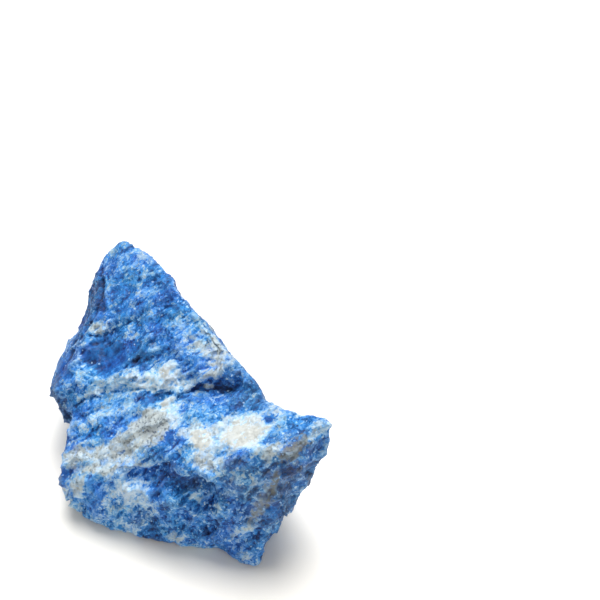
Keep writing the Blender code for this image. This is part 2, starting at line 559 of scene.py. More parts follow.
@dataclass(frozen=True)
class SodaliteFinish:
    """The stone's colours, its grain sizes in millimetres, how strongly each shows, and its gloss.

    A scale says how often a noise swings in a millimetre. A reach says where a shade sets in and
    where it is full, and a cover how much of it shows there.
    """

    blues: tuple[tuple[float, Colour], ...] = (
        (0.00, (0.004, 0.017, 0.085)),
        (0.18, (0.007, 0.056, 0.225)),
        (0.34, (0.011, 0.125, 0.435)),
        (0.50, (0.038, 0.245, 0.690)),
        (0.64, (0.190, 0.420, 0.760)),
        (0.76, (0.330, 0.560, 0.800)),
        (0.90, (0.590, 0.730, 0.850)),
        (1.00, (0.565, 0.590, 0.565)),
    )
    ash: Colour = (0.480, 0.530, 0.525)
    ash_speck: Colour = (0.120, 0.140, 0.150)
    tan: Colour = (0.170, 0.172, 0.140)
    dusk: Colour = (0.050, 0.095, 0.165)
    # Painted highlight: the colour laid on the glinting crystals stands in for their sparkle.
    painted_glint: Colour = (0.380, 0.600, 0.880)
    # Partly bruised wear, partly a painted highlight on the lit rims of sharp edges.
    bruise_and_rim_highlight: Colour = (0.330, 0.560, 0.800)
    layers_face: Place = LAYERS_FACE
    layer_squeeze: float = 4.0
    plain_detail: float = 1.0
    rich_detail: float = 2.0
    wander: float = 0.7
    wander_scale: float = 0.8
    coarse_grain: float = 1.70
    middle_grain: float = 0.68
    fine_grain: float = 0.32
    glint_grain: float = 0.46
    coarse_lean: float = 0.5
    middle_lean: float = 0.8
    fine_lean: float = 0.80
    glint_lean: float = 1.0
    cloud_shade: float = 0.34
    cloud_scale: float = 0.42
    streak_shade: float = 0.32
    streak_scale: float = 0.24
    coarse_shade: float = 0.24
    middle_shade: float = 0.19
    fine_shade: float = 0.19
    bunching: float = 0.9
    bunch_scale: float = 0.8
    pale_crystal: float = 0.18
    pale_crystal_reach: Pair = (0.93, 0.95)
    pale_fleck: float = 0.22
    pale_fleck_reach: Pair = (0.91, 0.94)
    dark_fleck: float = 0.17
    dark_fleck_reach: Pair = (0.03, 0.08)
    calm_reach: Pair = (0.0, 1.0)
    calm_fleck_reach: Pair = (0.3, 1.0)
    calm_flecks: float = 0.25
    calm_shades: float = 0.18
    calm_relief: float = 0.35
    # Painted shade: how much darker the hollows are made, as if by the shade that gathers in them.
    hollow_darkening: float = 0.30
    bluish_limit: float = 0.87
    white_slack: float = 0.02
    hue_scale: float = 0.22
    hue_reach: Pair = (0.25, 0.75)
    hues: Pair = (0.492, 0.508)
    dusk_reach: Pair = (0.30, 0.90)
    dusk_cover: Pair = (0.75, 0.10)
    ash_mottle: float = 0.35
    ash_reach: Pair = (0.12, 0.95)
    ash_cover: float = 0.92
    speck_reach: Pair = (0.74, 0.78)
    speck_cover: float = 0.75
    whitened_reach: Pair = (0.75, 1.0)
    whitened_cover: float = 0.45
    tan_mottle: float = 0.4
    tan_reach: Pair = (0.10, 1.0)
    tan_cover: float = 0.85
    # How much paler the sharp edges are made: partly bruising, partly painted highlight.
    edge_bruise_and_highlight: float = 0.30
    glint_reach: Pair = (0.968, 0.972)
    glint_core: Pair = (0.30, 0.55)
    # How much of the painted glint highlight shows.
    painted_glint_cover: float = 0.8
    grit: float = 0.10
    grit_scale: float = 5.0
    roughness: float = 0.50
    glint_roughness: float = 0.25
    specular: float = 0.28
    refraction: float = 1.48
    relief: float = 1.0

    def coordinates(self, bench: NodeBench) -> tuple[Socket, Socket]:
        """Makes the two sets of coordinates that the grain follows.

        Args:
            bench: Adds the nodes.

        Returns:
            Places in millimetres that wander a little, and the same squeezed across the layers.
        """
        raw = bench.add("ShaderNodeTexCoord").outputs["Object"]
        place = bench.scaled(raw, 1 / MM)
        drift = bench.noise(place, self.wander_scale, self.plain_detail)
        shift = bench.vector("SUBTRACT", drift.outputs["Color"], (NOISE_MIDDLE,) * 3)
        wandering = bench.vector("ADD", place, bench.scaled(shift, self.wander))
        normal = tuple(Vector(self.layers_face).normalized())
        across = bench.maths("MULTIPLY", bench.dot(wandering, normal), self.layer_squeeze)
        layered = bench.vector("ADD", wandering, bench.scaled(normal, across))
        return wandering, layered

    @staticmethod
    def crystals(bench: NodeBench, group: Any, place: Any, size: float, lean: float) -> Any:
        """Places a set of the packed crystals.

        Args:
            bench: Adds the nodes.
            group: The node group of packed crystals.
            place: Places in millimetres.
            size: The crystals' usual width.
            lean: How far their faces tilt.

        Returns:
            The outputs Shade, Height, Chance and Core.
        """
        node = bench.add("ShaderNodeGroup", node_tree=group)
        bench.tree.links.new(place, node.inputs["Place"])
        node.inputs["Size"].default_value = size
        node.inputs["Lean"].default_value = lean
        return node.outputs

    def broad_shades(
        self, bench: NodeBench, place: Any, layered: Any, coarse: Any, middle: Any
    ) -> Socket:
        """Adds up the shades of the clouds, the streaks and the larger crystals.

        Args:
            bench: Adds the nodes.
            place: Places in millimetres.
            layered: The same, squeezed across the layers.
            coarse: The outputs of the coarse crystals.
            middle: The outputs of the middle crystals.

        Returns:
            A number round nought for each point.
        """
        cloud = bench.swing(place, self.cloud_scale, self.rich_detail)
        streak = bench.swing(layered, self.streak_scale, self.rich_detail)
        total = bench.maths("MULTIPLY", cloud, self.cloud_shade)
        total = bench.maths("MULTIPLY_ADD", streak, self.streak_shade, total)
        total = bench.maths("MULTIPLY_ADD", coarse["Shade"], self.coarse_shade, total)
        total = bench.maths("MULTIPLY_ADD", middle["Shade"], self.middle_shade, total)
        gathered = bench.maths("MULTIPLY_ADD", cloud, self.bunching, middle["Chance"])
        pale = bench.span(gathered, self.pale_crystal_reach, (0.0, self.pale_crystal))
        return bench.maths("ADD", total, pale)

    def flecks(self, bench: NodeBench, place: Any, fine: Any) -> Socket:
        """Scatters the small pale and dark flecks, which gather in bunches.

        Args:
            bench: Adds the nodes.
            place: Places in millimetres.
            fine: The outputs of the fine crystals.

        Returns:
            A number round nought for each point.
        """
        bunch = bench.swing(place, self.bunch_scale, self.plain_detail)
        chance = bench.maths("MULTIPLY_ADD", bunch, self.bunching, fine["Chance"])
        pale = bench.span(chance, self.pale_fleck_reach, (0.0, self.pale_fleck))
        dark = bench.span(chance, self.dark_fleck_reach, (-self.dark_fleck, 0.0))
        both = bench.maths("ADD", pale, dark)
        total = bench.maths("MULTIPLY_ADD", fine["Shade"], self.fine_shade, both)
        quiet = bench.span(bench.painted("calm"), self.calm_fleck_reach, (1.0, self.calm_flecks))
        return bench.maths("MULTIPLY", total, quiet)

    def whiteness(self, bench: NodeBench, broad: Any, small: Any) -> Socket:
        """Adds the grain's shades and the painted shade of the hollows to the painted paleness.

        Args:
            bench: Adds the nodes.
            broad: The shades of the larger grain.
            small: The shades of the flecks.

        Returns:
            A number that says how far each point is from deep blue to white.
        """
        quiet = bench.span(bench.painted("calm"), self.calm_reach, (1.0, self.calm_shades))
        total = bench.maths("MULTIPLY_ADD", broad, quiet, small)
        # Painted shade: darker in the skin's hollows.
        hollow = bench.painted("hollow")
        total = bench.maths("MULTIPLY_ADD", hollow, -self.hollow_darkening, total)
        painted = bench.painted("paleness")
        palest = bench.maths("ADD", painted, self.white_slack)
        palest = bench.maths("MAXIMUM", palest, self.bluish_limit)
        return bench.maths("MINIMUM", bench.maths("ADD", total, painted), palest)

    def blue(self, bench: NodeBench, place: Any, white: Any) -> Socket:
        """Turns the whiteness into the blue mineral's colour.

        Args:
            bench: Adds the nodes.
            place: Places in millimetres.
            white: How far each point is from deep blue to white.

        Returns:
            The colour of each point.
        """
        ramp = bench.add("ShaderNodeValToRGB", {0: white})
        stops = ramp.color_ramp.elements
        while len(stops) < len(self.blues):
            stops.new(0.5)
        for stop, (where, tint) in zip(stops, self.blues):
            stop.position = where
            stop.color = (*tint, 1.0)
        drift = bench.noise(place, self.hue_scale, self.plain_detail)
        hue = bench.span(drift.outputs["Fac"], self.hue_reach, self.hues)
        tinted = bench.add("ShaderNodeHueSaturation", {"Hue": hue, "Color": ramp.outputs[0]})
        thin = bench.span(white, self.dusk_reach, self.dusk_cover)
        dusk = bench.maths("MULTIPLY", bench.painted("dusk"), thin)
        return bench.blend(dusk, tinted.outputs["Color"], self.dusk)

    def colour(self, bench: NodeBench, blue: Any, white: Any, middle: Any, fine: Any) -> Socket:
        """Lays the ash, the tan and the paler sharp edges over the blue; the edges are partly
        bruised wear and partly painted highlight.

        Args:
            bench: Adds the nodes.
            blue: The blue mineral's colour.
            white: How far each point is from deep blue to white.
            middle: The outputs of the middle crystals.
            fine: The outputs of the fine crystals.

        Returns:
            The colour of each point, without the glints.
        """
        patchy = bench.maths("MULTIPLY_ADD", middle["Shade"], self.ash_mottle, bench.painted("ash"))
        is_ash = bench.span(patchy, self.ash_reach, (0.0, self.ash_cover))
        is_speck = bench.span(fine["Chance"], self.speck_reach, (0.0, self.speck_cover))
        is_white = bench.span(white, self.whitened_reach, (0.0, self.whitened_cover))
        ashen = bench.blend(is_speck, self.ash, self.ash_speck)
        ashen = bench.blend(is_white, ashen, self.blues[-1][1])
        grey = bench.blend(is_ash, blue, ashen)
        warm = bench.maths("MULTIPLY_ADD", middle["Shade"], self.tan_mottle, bench.painted("tan"))
        is_tan = bench.span(warm, self.tan_reach, (0.0, self.tan_cover))
        # Paler on sharp edges: partly bruised wear, partly painted highlight.
        worn_and_lit = bench.maths("MULTIPLY", bench.painted("edge"), self.edge_bruise_and_highlight)
        return bench.blend(worn_and_lit, bench.blend(is_tan, grey, self.tan), self.bruise_and_rim_highlight)

    def glints(self, bench: NodeBench, group: bpy.types.NodeTree, place: Any) -> Socket:
        """Finds the few crystal faces that glint: the mask lays a painted highlight into their
        colour and lowers their roughness.

        Args:
            bench: Adds the nodes.
            group: The node group of packed crystals.
            place: Places in millimetres.

        Returns:
            A number from 0 to 1 for each point.
        """
        small = self.crystals(bench, group, place, self.glint_grain, self.glint_lean)
        lucky = bench.span(small["Chance"], self.glint_reach)
        core = bench.span(small["Core"], self.glint_core, (1.0, 0.0))
        return bench.maths("MULTIPLY", lucky, core)

    def facets(self, bench: NodeBench, place: Any, grains: tuple[Any, ...]) -> Socket:
        """Adds up the heights of the crystal faces.

        Args:
            bench: Adds the nodes.
            place: Places in millimetres.
            grains: The outputs of the coarse, middle and fine crystals.

        Returns:
            A height for each point, in millimetres.
        """
        coarse, middle, fine = [grain["Height"] for grain in grains]
        height = bench.maths("ADD", bench.maths("ADD", coarse, middle), fine)
        tooth = bench.noise(place, self.grit_scale, self.rich_detail)
        height = bench.maths("MULTIPLY_ADD", tooth.outputs["Fac"], self.grit, height)
        quiet = bench.span(bench.painted("calm"), self.calm_reach, (1.0, self.calm_relief))
        return bench.maths("MULTIPLY", height, quiet)

    def material(self) -> bpy.types.Material:
        """Makes the material.

        Returns:
            The raw sodalite material.
        """
        made = bpy.data.materials.new("raw_sodalite")
        made.use_nodes = True
        tree = made.node_tree
        tree.nodes.clear()
        bench = NodeBench(tree)
        group = crystal_group()
        place, layered = self.coordinates(bench)
        coarse = self.crystals(bench, group, place, self.coarse_grain, self.coarse_lean)
        middle = self.crystals(bench, group, place, self.middle_grain, self.middle_lean)
        fine = self.crystals(bench, group, place, self.fine_grain, self.fine_lean)
        broad = self.broad_shades(bench, place, layered, coarse, middle)
        white = self.whiteness(bench, broad, self.flecks(bench, place, fine))
        colour = self.colour(bench, self.blue(bench, place, white), white, middle, fine)
        painted_glint = self.glints(bench, group, place)
        # Painted highlight: the glint colour is laid into the base colour where the glint mask is;
        # the same mask lowers the roughness below.
        colour = bench.blend(bench.maths("MULTIPLY", painted_glint, self.painted_glint_cover), colour, self.painted_glint)
        height = self.facets(bench, place, (coarse, middle, fine))
        relief = {"Strength": self.relief, "Distance": MM, "Height": height}
        gloss = {"IOR": self.refraction, "Specular IOR Level": self.specular}
        shader = bench.add("ShaderNodeBsdfPrincipled", gloss)
        tree.links.new(colour, shader.inputs["Base Color"])
        rough = bench.span(painted_glint, (0.0, 1.0), (self.roughness, self.glint_roughness))
        tree.links.new(rough, shader.inputs["Roughness"])
        bump = bench.add("ShaderNodeBump", relief)
        tree.links.new(bump.outputs["Normal"], shader.inputs["Normal"])
        bench.add("ShaderNodeOutputMaterial", {"Surface": shader.outputs[0]})
        return made


@dataclass(frozen=True)
class FloorFinish:
    """The pale floor's colour, its gloss and its faint tooth."""

    white: Colour = (0.93, 0.90, 0.84)
    roughness: float = 0.7
    tooth_scale: float = 900.0
    tooth_detail: float = 2.0
    tooth_depth: float = 0.0002
    tooth_strength: float = 0.05

    def material(self) -> bpy.types.Material:
        """Makes the material.

        Returns:
            The pale floor material.
        """
        made = bpy.data.materials.new("pale_floor")
        made.use_nodes = True
        bench = NodeBench(made.node_tree)
        shader = made.node_tree.nodes["Principled BSDF"]
        place = bench.add("ShaderNodeTexCoord").outputs["Object"]
        tooth = bench.noise(place, self.tooth_scale, self.tooth_detail).outputs["Fac"]
        relief = {"Strength": self.tooth_strength, "Distance": self.tooth_depth, "Height": tooth}
        bump = bench.add("ShaderNodeBump", relief)
        made.node_tree.links.new(bump.outputs["Normal"], shader.inputs["Normal"])
        shader.inputs["Base Color"].default_value = (*self.white, 1.0)
        shader.inputs["Roughness"].default_value = self.roughness
        return made


def stone_seams() -> tuple[Seam, ...]:
    """Lists the cracks, steps and chips of the broken surface.

    Returns:
        The seams.
    """
    long_crack = (
        (72.7, 407), (83, 400), (98.6, 394), (116, 391), (139, 389),
        (153, 389), (165, 393), (181, 394), (192, 390), (199, 385),
    )
    crack_end = (199, 385), (212, 387), (224, 389), (238, 391)
    ledge_foot = (86, 336), (101, 335), (112, 332), (124, 324), (132, 320)
    left_groove = (101, 268), (103, 285), (100, 303), (90, 322), (80, 338), (71, 354), (61, 370)
    left_rim = (114, 276), (108, 290), (106, 303), (93, 325), (84, 343), (75, 359)
    return (
        Seam("long_crack", long_crack, 0.38, 0.52),
        Seam("crack_end", crack_end, 0.5, 0.25),
        Seam("ledge_foot", ledge_foot, 0.5, 0.50),
        Seam("left_groove", left_groove, 0.9, 0.60),
        Seam("left_rim", left_rim, 0.7, -0.20),
        Seam("shoulder_chip", ((204, 324), (213, 335), (221, 348)), 2.8, 0.85),
        Seam("corner_chip", ((67, 492), (74, 500), (82, 508)), 2.2, 0.80),
        Seam("left_chip", ((76, 338), (70, 346)), 1.6, 0.60),
        Seam("front_step", ((127, 476), (138, 466), (147, 459), (160, 451)), 0.5, 0.30),
    )


def stone_edges() -> tuple[Edge, ...]:
    """Lists the sides of the outline.

    Returns:
        The edges, each from its top to its foot.
    """
    crown_right = (
        (154, 259), (167, 275), (180, 296), (190, 309),
        (204, 322), (213, 333), (226, 353), (243, 370),
    )
    front_right = (
        (331, 423), (328, 442), (318, 461), (312, 476),
        (303, 489), (284, 518), (273, 530), (259, 553),
    )
    crown_left = (
        (102, 257), (97, 277), (88, 297), (87, 309), (78, 325),
        (75, 338), (58, 361), (52, 385), (56, 402),
    )
    toe_left = (
        (68, 434), (63, 447), (63, 471), (60, 480), (62, 488),
        (68, 495), (75, 503), (85, 511), (89, 521),
    )
    return (
        Edge("crown_right", crown_right, 1),
        Edge("front_right", front_right, 1),
        Edge("crown_left", crown_left, -1),
        Edge("toe_left", toe_left, -1),
    )


def stone_patches() -> tuple[Patch, ...]:
    """Lists the patches of mineral, from the broad grounds to the single grains; the patches in the
    crack's hollow and under the front brow also carry painted shade.

    Returns:
        The patches, in the order in which they are laid.
    """
    t = Tone
    grounds = (
        Patch("crown_ground", (140, 300), 62, 56, -30, t.BLUE, 1.0, 0.3, 0.3),
        Patch("crown_right", (203, 345), 44, 24, -48, t.SKY, 0.65, 0.3, 0.5),
        Patch("crown_front", (100, 378), 36, 20, 0, t.SKY, 1.0, 0.4, 0.4),
        Patch("left_wall", (96, 286), 8, 28, 10, t.DEEP, 0.9, 0.3, 0.3),
        Patch("left_undercut", (60, 409), 4, 24, 21, t.SLATE, 0.9, 0.4, 0.3),
        Patch("toe_left", (100, 420), 46, 26, 10, t.SKY, 1.0, 0.4, 0.4),
        Patch("toe_middle", (190, 420), 60, 32, 0, t.SKY, 0.8, 0.4, 0.4),
        Patch("toe_right", (295, 425), 50, 22, 10, t.SKY, 1.0, 0.4, 0.3),
        Patch("front_left", (120, 505), 44, 34, 20, t.SKY, 1.0, 0.4, 0.5),
        Patch("front_left_pale", (126, 500), 30, 22, 0, t.FROST, 0.7, 0.5, 0.8),
        Patch("front_middle", (200, 510), 56, 46, 0, t.BLUE, 1.0, 0.4, 0.4),
        Patch("front_low", (215, 535), 50, 22, -15, t.BLUE, 0.8, 0.4, 0.5),
        Patch("front_right", (288, 485), 30, 50, -35, t.SLATE, 0.9, 0.4, 0.3),
    )
    crown = (
        Patch("apex_pale", (119, 247), 9, 5, 20, t.SKY, 0.4),
        Patch("apex_white", (137, 258), 9, 7, 20, t.FROST, 0.35),
        Patch("apex_lobe", (148, 255), 6, 9, -35, t.FROST, 0.35),
        Patch("apex_grains", (124, 255), 7, 4, 20, t.FROST, 0.3),
        Patch("left_wall_navy", (83, 322), 7, 24, 28, t.DEEP, 1.0, 0.3, 0.4),
        Patch("crown_royal_a", (122, 290), 12, 9, 0, t.ROYAL, 0.5),
        Patch("crown_royal_b", (168, 298), 12, 8, -40, t.ROYAL, 0.5),
        Patch("crown_grains_a", (142, 293), 8, 5, 20, t.FROST, 0.6),
        Patch("crown_grains_b", (152, 289), 6, 5, 0, t.FROST, 0.6),
        Patch("crown_grains_c", (133, 332), 6, 6, 0, t.FROST, 0.6),
        Patch("crown_strip", (107, 294), 3, 20, 10, t.FROST, 0.5, 0.3, 0.6),
        Patch("left_wall_rim", (87, 338), 3, 16, 32, t.FROST, 0.35, 0.3, 0.6),
        Patch("wall_foot", (63, 368), 6, 15, 28, t.ROYAL, 0.9, 0.3, 0.4),
        Patch("olive_grains", (149, 347), 7, 5, 20, t.ASH, 0.45),
        Patch("left_wall_deep", (88, 315), 8, 18, 22, t.DEEP, 0.8),
        Patch("ledge_pale", (99, 328), 11, 6, 12, t.PALE, 1.0),
        Patch("ledge_tan", (98, 329), 7, 4, 12, t.ASH, 0.6),
        Patch("royal_scoop", (106, 358), 23, 22, 10, t.ROYAL, 1.0, 0.15, 0.3),
        Patch("scoop_right", (135, 355), 14, 14, 0, t.ROYAL, 0.6),
        Patch("crown_white_a", (180, 330), 11, 5, -30, t.FROST, 0.3),
        Patch("crown_white_b", (207, 335), 13, 7, -50, t.FROST, 0.4),
        Patch("crown_ash", (212, 356), 15, 19, -35, t.MIST, 0.95),
        Patch("crown_haze", (203, 340), 26, 14, -48, t.MIST, 0.15),
        Patch("crown_whites", (154, 380), 42, 13, 3, t.PALE, 0.9),
        Patch("crown_white_c", (170, 374), 10, 14, 15, t.CREAM, 0.7),
        Patch("crown_white_d", (150, 383), 20, 7, 5, t.PALE, 1.0),
        Patch("crown_white_e", (180, 382), 18, 8, 0, t.PALE, 0.95),
        Patch("crown_mist", (212, 370), 10, 6, -30, t.MIST, 0.8),
        Patch("blue_island", (194, 364), 17, 12, 12, t.AZURE, 0.9, 0.25),
        Patch("blue_island_b", (184, 376), 9, 6, 10, t.SKY, 0.8),
        Patch("crown_foot_grain", (115, 382), 4, 4, 0, t.PALE, 0.9),
        Patch("crown_foot_grains", (84, 374), 12, 8, 20, t.FROST, 0.6),
        Patch("crown_foot_sky", (78, 385), 18, 12, 10, t.SKY, 0.8),
        # Partly painted shade: the navy in the crack's hollow stands in for its shade as well as
        # its dark blue.
        Patch("crack_hollow", (212, 386), 16, 4.5, -5, t.NAVY, 0.45),
        Patch("crack_chip", (208, 386), 6, 2.6, 0, t.MIST, 0.95, 0.25, 0.3),
        Patch("crack_right", (243, 384), 13, 7, -25, t.BLUE, 0.8),
        Patch("lip_left", (88, 396), 16, 3.2, 22, t.FROST, 0.85, 0.3, 0.4),
        Patch("lip_middle", (110, 389), 12, 3.4, 12, t.PALE, 0.8, 0.3, 0.4),
        Patch("lip_tan", (138, 396), 6, 4, 10, t.TAN, 0.25),
    )
    toe = (
        Patch("toe_blue", (100, 424), 26, 13, 20, t.BLUE, 0.7, 0.3, 0.6),
        Patch("toe_royal_a", (153, 399), 17, 4, 18, t.ROYAL, 0.9, 0.3),
        Patch("toe_royal_b", (82, 410), 14, 6, 25, t.ROYAL, 0.7),
        Patch("toe_royal_c", (104, 438), 12, 8, 25, t.ROYAL, 0.6),
        Patch("toe_streak_a", (110, 411), 22, 4.5, 18, t.FROST, 0.8, 0.3, 0.8),
        Patch("toe_streak_b", (88, 426), 14, 4, 30, t.FROST, 0.7, 0.3, 0.8),
        Patch("ash_patch", (151, 425), 27, 19, 32, t.ASH, 1.0, 0.25, 0.5),
        Patch("ash_top", (167, 404), 12, 8, 10, t.CREAM, 0.85),
        Patch("ash_right", (173, 416), 7, 13, 0, t.PALE, 0.85),
        Patch("ash_left", (128, 439), 15, 7, 12, t.MIST, 0.95),
        Patch("ash_foot", (131, 446), 12, 5, 0, t.ASH, 0.9),
        Patch("ash_foot_tan", (126, 445), 8, 4, 10, t.TAN, 0.45),
        Patch("ash_corner", (158, 438), 8, 6, 30, t.TAN, 0.3),
        Patch("toe_mid_blue", (205, 405), 26, 12, 0, t.BLUE, 0.7),
        Patch("toe_haze", (196, 416), 24, 13, 0, t.ASH, 0.1),
        Patch("toe_spot_a", (213, 402), 7, 5, 0, t.ROYAL, 0.55),
        Patch("toe_spot_b", (237, 408), 7, 4, 10, t.ROYAL, 0.65),
        Patch("toe_spot_c", (192, 398), 8, 4, 0, t.ROYAL, 0.5),
        Patch("cream_small", (196, 441), 17, 13, 20, t.CREAM, 1.0, 0.25, 0.35),
        Patch("cream_bridge", (221, 428), 9, 7, 20, t.MIST, 0.8),
        Patch("cream_large", (245, 431), 24, 16, 15, t.CREAM, 1.0, 0.35, 0.5),
        Patch("cream_large_up", (256, 421), 10, 6, 10, t.PALE, 0.8),
        Patch("cream_under", (212, 461), 24, 10, -4, t.MIST, 0.85),
        Patch("cream_foot", (221, 450), 12, 6, 0, t.FROST, 0.8),
        Patch("toe_blue_gap", (180, 446), 11, 9, -30, t.BLUE, 0.8),
        Patch("toe_navy_gap", (157, 451), 12, 6, 30, t.DEEP, 0.85, 0.3),
        Patch("toe_navy_up", (169, 437), 6, 9, -25, t.ROYAL, 0.8),
        Patch("band_ground", (102, 459), 44, 16, 5, t.MIST, 0.7, 0.4, 0.4),
        Patch("band_white_a", (76, 456), 16, 6, 5, t.MIST, 1.0, 0.35, 0.5),
        Patch("band_white_b", (112, 453), 28, 7, 2, t.MIST, 0.95, 0.35, 0.5),
        Patch("band_white_c", (97, 469), 20, 6, -10, t.MIST, 0.95, 0.35, 0.5),
        Patch("band_white_d", (139, 455), 9, 6, 20, t.FROST, 0.8),
        Patch("band_blue", (84, 463), 10, 2.6, 0, t.SKY, 0.5),
        Patch("band_dark", (115, 469), 7, 4, 10, t.ASH, 0.6),
        Patch("band_navy", (117, 477), 6, 4, 0, t.DEEP, 0.8),
        Patch("corner_blue_a", (65, 473), 5, 4, 0, t.ROYAL, 0.85),
        Patch("corner_blue_b", (65, 482), 7, 7, -20, t.ROYAL, 0.8),
        Patch("corner_frost", (76, 498), 14, 7, -50, t.PALE, 0.8),
        Patch("corner_mist", (78, 484), 9, 9, -30, t.MIST, 0.8),
        Patch("tip_spot", (271, 419), 7, 4.5, 0, t.DEEP, 0.9, 0.3, 0.3),
        Patch("tip_lens", (279, 433), 10, 6, 10, t.SKY, 0.7),
        Patch("tip_royal", (300, 423), 16, 7, 8, t.ROYAL, 0.45),
        Patch("tip_streak", (321, 425), 9, 3, 20, t.FROST, 0.7),
        Patch("ridge_mist_a", (270, 451), 19, 8, 10, t.MIST, 0.85),
        Patch("ridge_mist_b", (268, 458), 4, 7, 0, t.MIST, 0.8),
        Patch("ridge_tan", (299, 446), 22, 7, 38, t.TAN, 0.9, 0.5, 1.0),
        Patch("ridge_olive", (292, 455), 8, 12, 25, t.TAN, 0.9, 0.5, 1.0),
        Patch("ridge_tan_up", (316, 434), 14, 3.2, 35, t.MIST, 0.6),
    )
    front = (
        Patch("front_azure", (93, 498), 10, 20, -4, t.AZURE, 1.0, 0.2, 0.4),
        Patch("front_pale_a", (128, 492), 20, 18, -30, t.PALE, 0.85, 0.5),
        Patch("front_pale_b", (150, 509), 9, 9, 0, t.PALE, 0.7),
        Patch("front_pale_c", (143, 482), 10, 12, -20, t.FROST, 0.8),
        Patch("front_blue_a", (108, 484), 14, 6, 10, t.AZURE, 0.7),
        Patch("front_blue_b", (136, 472), 13, 4, 25, t.AZURE, 0.8),
        Patch("front_blue_c", (150, 473), 8, 5, 20, t.ROYAL, 0.7),
        Patch("front_blue_d", (142, 519), 13, 8, 20, t.SLATE, 0.8),
        # Painted shade: the deep blue under the brow stands in, mostly, for the shade there.
        Patch("front_brow_shade", (180, 479), 22, 8, -5, t.DEEP, 0.65),
        Patch("front_brow_royal", (156, 492), 8, 10, 0, t.ROYAL, 0.7),
        Patch("front_slate", (198, 480), 20, 10, -10, t.SLATE, 0.6),
        Patch("front_white_grain", (197, 497), 7, 4.5, 0, t.FROST, 1.0, 0.2, 0.3),
        Patch("front_mid_a", (180, 518), 20, 12, 20, t.AZURE, 0.6),
        Patch("front_mid_b", (214, 511), 9, 6, 0, t.FROST, 0.6),
        Patch("front_low_navy", (202, 527), 12, 8, 0, t.DEEP, 0.15),
        Patch("front_low_pale_a", (175, 537), 9, 4, 0, t.MIST, 0.7),
        Patch("front_low_pale_b", (135, 528), 14, 4, -8, t.FROST, 0.7),
        Patch("front_low_navy_b", (150, 529), 10, 6, 0, t.DEEP, 0.6),
        Patch("front_right_navy", (236, 466), 13, 9, -20, t.NAVY, 0.7),
        Patch("front_right_arc", (250, 484), 16, 4, 12, t.MIST, 0.7),
        Patch("front_right_slate", (236, 482), 22, 18, 0, t.SLATE, 0.95),
        Patch("front_right_ash", (240, 482), 18, 13, 0, t.ASH, 0.12),
        Patch("front_right_blue", (240, 503), 14, 8, 0, t.ROYAL, 0.4),
        Patch("crest_line", (266, 503), 5, 46, -26, t.MIST, 0.3, 0.6, 1.1),
        Patch("crest_olive", (268, 494), 5, 34, -27, t.TAN, 0.85, 0.5, 1.2),
        Patch("crest_ash", (257, 508), 6, 24, -24, t.ASH, 0.35, 0.5, 1.2),
        Patch("crest_foot", (240, 531), 12, 5, 10, t.MIST, 0.5, 0.5, 1.0),
        Patch("wall_navy", (288, 471), 9, 7, 0, t.NAVY, 0.7),
        Patch("wall_blue_a", (310, 457), 8, 7, 30, t.BLUE, 0.7),
        Patch("wall_blue_b", (300, 487), 5, 8, -30, t.SKY, 0.5),
        Patch("wall_royal", (274, 515), 7, 12, -30, t.ROYAL, 0.8),
        Patch("foot_pale", (250, 558), 12, 4, -10, t.FROST, 0.6),
        Patch("foot_frost", (240, 548), 18, 8, -25, t.SKY, 0.5),
    )
    return (*grounds, *crown, *toe, *front)


@dataclass(frozen=True)
class Ledges:
    """The small steps where the break jumped from one layer to the next, in millimetres."""

    gap: float = 2.9
    rise: float = 0.34
    wave_height: float = 1.5
    wave_size: float = 7.0
    lowest: float = 40.0
    drift: float = 0.35
    drift_size: float = 16.0
    spread_size: float = 8.0
    spread_reach: Pair = (-0.25, 0.35)
    lip: float = 0.90

    def heights(self, points: np.ndarray, normal: np.ndarray) -> np.ndarray:
        """Gives the height of the steps.

        Args:
            points: Places in millimetres.
            normal: The way that the layers face.

        Returns:
            One height in millimetres for each point.
        """
        waves = GrainField.billow(points, self.wave_size, Salt.LEDGE_WAVES)
        level = points @ normal + self.wave_height * waves + self.lowest
        drift = GrainField.cloud(points, self.drift_size, Salt.LEDGE_DRIFT)
        level = level / self.gap + self.drift * drift
        layer = np.floor(level).astype(np.int64)
        part = level - layer
        cells = np.stack([layer, layer * 0, layer * 0], axis=1)
        rise = self.rise * GrainField.scatter(cells, Salt.LEDGE_RISE) ** 2
        spread = GrainField.cloud(points, self.spread_size, Salt.LEDGE_SPREAD)
        ramp = part - 0.5 - smooth_step(self.lip, 1.0, part) * part
        return rise * smooth_step(*self.spread_reach, spread) * ramp


@dataclass(frozen=True)
class Vein:
    """A mineral that runs through the whole lump: its width in millimetres, and its most."""

    salt: Salt
    width: float
    reach: Pair
    most: float
    octaves: int = FINE_OCTAVES

    def amount(self, points: np.ndarray) -> np.ndarray:
        """Gives how much of the mineral each point carries."""
        noise = GrainField.billow(points, self.width, self.salt, self.octaves)
        return smooth_step(*self.reach, noise) * self.most


